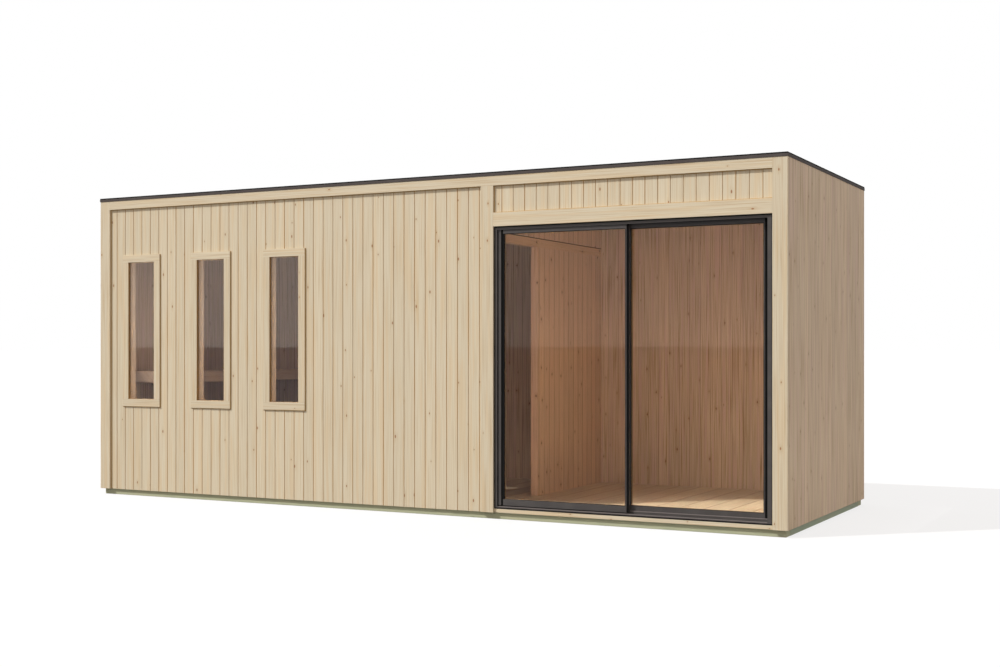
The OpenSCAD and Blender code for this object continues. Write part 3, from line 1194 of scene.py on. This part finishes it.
@dataclass
class Roof(Assembly):
    """The flat roof's covering and its folded edge."""

    sheet: float = 1.0
    overlap: float = 0.08
    lap: float = 0.002
    cap: float = 0.009
    cap_set: float = 0.0015
    arris: float = 0.001

    def build(self) -> None:
        """Lays the covering in sheets and runs the edge round the roof."""
        low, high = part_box("roof_membrane")
        count = round((high.x - low.x) / self.sheet)
        width = (high.x - low.x) / count
        sheets = Shape()
        for i in range(count):
            x0 = low.x + i * width
            x1 = min(high.x, x0 + width + self.overlap)
            level = self.lap if i % 2 else 0.0
            sheets.block((x0, low.y, low.z), (x1, high.y, high.z + level), self.arris)
        self.make(sheets, "roofing_sheets", "roofing_sheet", Slot.ROOF, "roof_membrane")
        self.edge()

    def edge(self) -> None:
        """Makes the metal edge and the dark strip that caps it."""
        low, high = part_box("roof_edges_long")
        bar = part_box("roof_membrane")[0].x - low.x
        split, inset = high.z - self.cap, self.cap_set
        packed = ("roof_edges_long", "roof_edges_short")
        metal = Shape().frame(low, (high.x, high.y, split), bar, Axis.X, Axis.Y, self.arris)
        self.make(metal, "roof_edge_metal", "anthracite_steel", Slot.ROOF_EDGE, *packed)
        start = (low.x + inset, low.y + inset, split)
        end = (high.x - inset, high.y - inset, high.z)
        cap = Shape().frame(start, end, bar - inset, Axis.X, Axis.Y, self.arris)
        self.make(cap, "roof_edge_cap", "black_rubber", Slot.ROOF)


@dataclass
class Base(Assembly):
    """The treated bearers that the cabin stands on."""

    width: float = 0.095
    arris: float = 0.003

    def build(self) -> None:
        """Makes the two long bearers and dresses the cross bearers."""
        low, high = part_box("long_bearers")
        shape = Shape()
        shape.block(low, (high.x, low.y + self.width, high.z), self.arris)
        shape.block((low.x, high.y - self.width, low.z), high, self.arris)
        self.make(shape, "base_bearers", "treated_pine_along", Slot.BASE, "long_bearers")
        self.finishes.dress(["cross_bearers"], "treated_pine_across_sky_tint")


# ---- studio


@dataclass
class Studio:
    """Floor, sun, sky, weak fill lamps and camera.

    Sizes are in metres, angles in degrees, the lens in millimetres and lamps in watts.
    """

    sun_azimuth: float = 45.5
    sun_height: float = 44.6
    sun_strength: float = 2.72
    sun_softness: float = 0.6
    sky: float = 0.715
    sky_tint: Colour = (1.0, 0.92, 0.87, 1.0)
    white: Colour = (1.0, 1.0, 1.0, 1.0)
    floor_size: float = 4000.0
    floor_grey: float = 0.22
    floor_lift: float = 0.75
    mirrored_ground: float = 0.37
    mirrored_tint: Colour = (0.92, 1.0, 1.15, 1.0)
    bounced_ground: float = 0.4
    hedge_distance: float = 60.0
    hedge_height: float = 1.38
    sheet_height: float = 0.001
    room_lamp_tint: Point = (1.0, 0.6, 0.48)
    room_lamp_size: float = 0.35
    room_lamp_place: Span = (-0.15, 1.35)
    lobby_lamp: float = 4.0
    sauna_lamp: float = 1.3
    window_lamp: Point = (0.85, 0.75, 0.52)
    window_lamp_turn: float = 25.0
    window_lamp_tint: Point = (0.78, 0.8, 0.98)
    window_panel: float = 0.04
    window_margin: float = 0.03
    window_behind: float = 0.003
    ground_lamp: float = 2.2
    ground_panel: Span = (0.6, 2.4)
    ground_place: Span = (0.7, 0.06)
    ground_turn: float = 130.0
    doorway_lamp: float = 0.15
    doorway_panel: float = 1.9
    doorway_middle: float = 1.05
    doorway_ahead: float = 0.01
    doorway_spread: float = 20.0
    lens: float = 48.906
    view_end: float = 10000.0
    rise: float = 0.0169
    eye: Point = (5.298, -9.5475, 1.194)
    camera_turn: float = 27.683

    def build(self) -> None:
        """Sets up the whole studio."""
        self.floor()
        self.ground_in_glass()
        self.sun()
        self.room_lamps()
        self.doorway_light()
        self.window_lamps()
        self.ground_light()
        self.world()
        self.camera()
        bpy.context.scene.view_settings.view_transform = "Standard"

    def seen(self, add: Adder) -> Any:
        """Picks the rays that show the background straight, in glass or in a shine.

        Args:
            add: The function that adds a node to the graph.

        Returns:
            1 for those rays and 0 for the others.
        """
        rays = add("LightPath", out=None)
        direct = rays.outputs["Is Camera Ray"]
        for way in ("Is Glossy Ray", "Is Transmission Ray"):
            direct = add("Math", [direct, rays.outputs[way]], operation="MAXIMUM")
        bounced = add("Math", [rays.outputs["Diffuse Depth"], 1.0], operation="MINIMUM")
        straight = add("Math", [1.0, bounced], operation="SUBTRACT")
        return add("Math", [direct, straight], operation="MULTIPLY")

    def plane(self, name: str, corners: Sequence[Point]) -> tuple[bpy.types.Object, Graph]:
        """Makes a stage surface of four-cornered faces with an empty material.

        Args:
            name: The surface's name.
            corners: The faces' corners, four for each.

        Returns:
            The surface and the graph of its material.
        """
        data = bpy.data.meshes.new(name)
        faces = [tuple(range(i, i + 4)) for i in range(0, len(corners), 4)]
        data.from_pydata(corners, [], faces)
        paint, graph = new_material(name)
        data.materials.append(paint)
        made = new_object(name, data)
        made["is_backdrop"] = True
        return made, graph

    def floor(self) -> None:
        """Makes the pale floor, which still takes the cabin's shadow."""
        half = self.floor_size / 2
        corners = [(-half, -half, 0.0), (half, -half, 0.0), (half, half, 0.0), (-half, half, 0.0)]
        _, graph = self.plane("studio_floor", corners)
        add = graph.add
        grey = self.floor_grey
        paint = add("BsdfDiffuse", {"Color": (grey, grey, grey, 1.0)})
        lift = add("Math", [self.seen(add), self.floor_lift], operation="MULTIPLY")
        surface = add("AddShader", [paint, add("Emission", {"Strength": lift})])
        add("OutputMaterial", {"Surface": surface}, None)

    def ground_in_glass(self) -> None:
        """Lays a glowing grey sheet seen only in glass and shine: a painted reflection of dark
        ground, so that glass darkens below the skyline.
        """
        half, far, top = self.floor_size / 2, -self.hedge_distance, self.hedge_height
        low = self.sheet_height
        flat = [(-half, far, low), (half, far, low), (half, half, low), (-half, half, low)]
        upright = [(-half, far, low), (half, far, low), (half, far, top), (-half, far, top)]
        sheet, graph = self.plane("mirrored_ground", [*flat, *upright])
        add = graph.add
        bounced = add("LightPath", out="Diffuse Depth")
        greys = (self.mirrored_ground, self.bounced_ground)
        tone = add("MapRange", [bounced, 0.0, 1.0, *greys], **SMOOTH)
        surface = add("Emission", {"Color": self.mirrored_tint, "Strength": tone})
        add("OutputMaterial", {"Surface": surface}, None)
        hide(sheet, "camera", "diffuse", "volume_scatter", "shadow")

    def fill(self, data: bpy.types.Light, place: Point, turn: Point = (0.0, 0.0, 0.0)) -> None:
        """Hangs a lamp that the camera, glass and shiny surfaces don't see.

        Args:
            data: The lamp's light.
            place: Where it hangs.
            turn: Its turns about the three axes, in degrees.
        """
        lamp = new_object(data.name, data)
        lamp.location = place
        lamp.rotation_euler = [math.radians(angle) for angle in turn]
        hide(lamp, "camera", "glossy", "transmission")

    def panel_lamp(self, name: str, size: Span, power: float) -> bpy.types.Light:
        """Makes the light of a rectangular soft panel.

        Args:
            name: The light's name.
            size: The panel's two sides, in metres.
            power: Its power, in watts.

        Returns:
            The light.
        """
        data = bpy.data.lights.new(name, "AREA")
        data.shape = "RECTANGLE"
        data.size, data.size_y = size
        data.energy = power
        return data

    def room_lamps(self) -> None:
        """Hangs one weak soft lamp in each room."""
        floor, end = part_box("floor"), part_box("partition_rail")
        middle = (end[0].x + end[1].x) / 2
        for name, power, span in (
            ("sauna_fill", self.sauna_lamp, (floor[0].x, middle)),
            ("lobby_fill", self.lobby_lamp, (middle, floor[1].x)),
        ):
            data = bpy.data.lights.new(name, "POINT")
            data.energy = power
            data.color = self.room_lamp_tint
            data.shadow_soft_size = self.room_lamp_size
            self.fill(data, ((span[0] + span[1]) / 2, *self.room_lamp_place))

    def doorway_light(self) -> None:
        """Hangs a narrow panel in the partition's doorway, which lights the doorway's far edge."""
        near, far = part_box("partition_front_panel"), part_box("partition_back_panel")
        size = (far[1].x - far[0].x, self.doorway_panel)
        data = self.panel_lamp("doorway_fill", size, self.doorway_lamp)
        data.color = self.room_lamp_tint
        data.spread = math.radians(self.doorway_spread)
        middle = (far[0].x + far[1].x) / 2
        place = (middle, near[1].y + self.doorway_ahead, self.doorway_middle)
        self.fill(data, place, (90.0, 0.0, 0.0))

    def window_lamps(self) -> None:
        """Hangs a soft panel behind each window's glass, for the sky that falls through it."""
        for n in (1, 2, 3):
            low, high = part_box(f"window_{n}_glass")
            size = (self.window_panel, high.z - low.z - self.window_margin)
            data = self.panel_lamp(f"window_{n}_sky", size, self.window_lamp[n - 1])
            data.color = self.window_lamp_tint
            place = ((low.x + high.x) / 2, high.y + self.window_behind, (low.z + high.z) / 2)
            self.fill(data, place, (90.0, 0.0, self.window_lamp_turn))

    def ground_light(self) -> None:
        """Lays a weak soft panel beside the end wall, for light thrown up by pale ground."""
        data = self.panel_lamp("ground_light", self.ground_panel, self.ground_lamp)
        aside, height = self.ground_place
        place = (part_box("right_corner_board")[1].x + aside, 0.0, height)
        self.fill(data, place, (0.0, self.ground_turn, 0.0))

    def sun(self) -> None:
        """Hangs one soft sun in front of the cabin's left corner."""
        data = bpy.data.lights.new("sun", "SUN")
        data.energy = self.sun_strength
        data.angle = math.radians(self.sun_softness)
        sun = new_object("sun", data)
        azimuth, height = math.radians(self.sun_azimuth), math.radians(self.sun_height)
        flat = math.cos(height)
        source = Vector((-math.sin(azimuth) * flat, -math.cos(azimuth) * flat, math.sin(height)))
        sun.rotation_euler = source.to_track_quat("Z", "Y").to_euler()

    def world(self) -> None:
        """Makes an even sky that reads as white behind the cabin."""
        sky = bpy.data.worlds.new("studio_sky")
        bpy.context.scene.world = sky
        sky.use_nodes = True
        add = Graph(sky.node_tree).add
        seen = self.seen(add)
        strength = add("MapRange", [seen, 0.0, 1.0, self.sky, 1.0], **SMOOTH)
        colour = add("Mix", {0: seen, 6: self.sky_tint, 7: self.white}, 2, **COLOURS)
        light = add("Background", {"Color": colour, "Strength": strength})
        add("OutputWorld", {"Surface": light}, None)

    def camera(self) -> None:
        """Places the level camera to the right of the front."""
        data = bpy.data.cameras.new("camera")
        data.lens = self.lens
        data.shift_y = self.rise
        data.clip_end = self.view_end
        camera = new_object("camera", data)
        camera.location = self.eye
        camera.rotation_euler = (math.radians(90), 0.0, math.radians(self.camera_turn))
        bpy.context.scene.camera = camera


def main() -> None:
    """Builds the studio and every sub-assembly of the cabin."""
    logging.basicConfig(level=logging.INFO, format="%(name)s: %(message)s")
    Studio().build()
    first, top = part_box("floor")
    finishes = Finishes(board_edge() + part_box("sauna_cladding")[0].y, first.x + top.z)
    for part in (Cladding, FrontTrim, Windows, SlidingDoor, Rooms, Bench, Roof, Base):
        log.info("building the %s", part.__name__)
        part(finishes).build()


if __name__ == "__main__":
    main()
    [[list(corner) for corner in box] for box in (cad_bounds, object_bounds())]
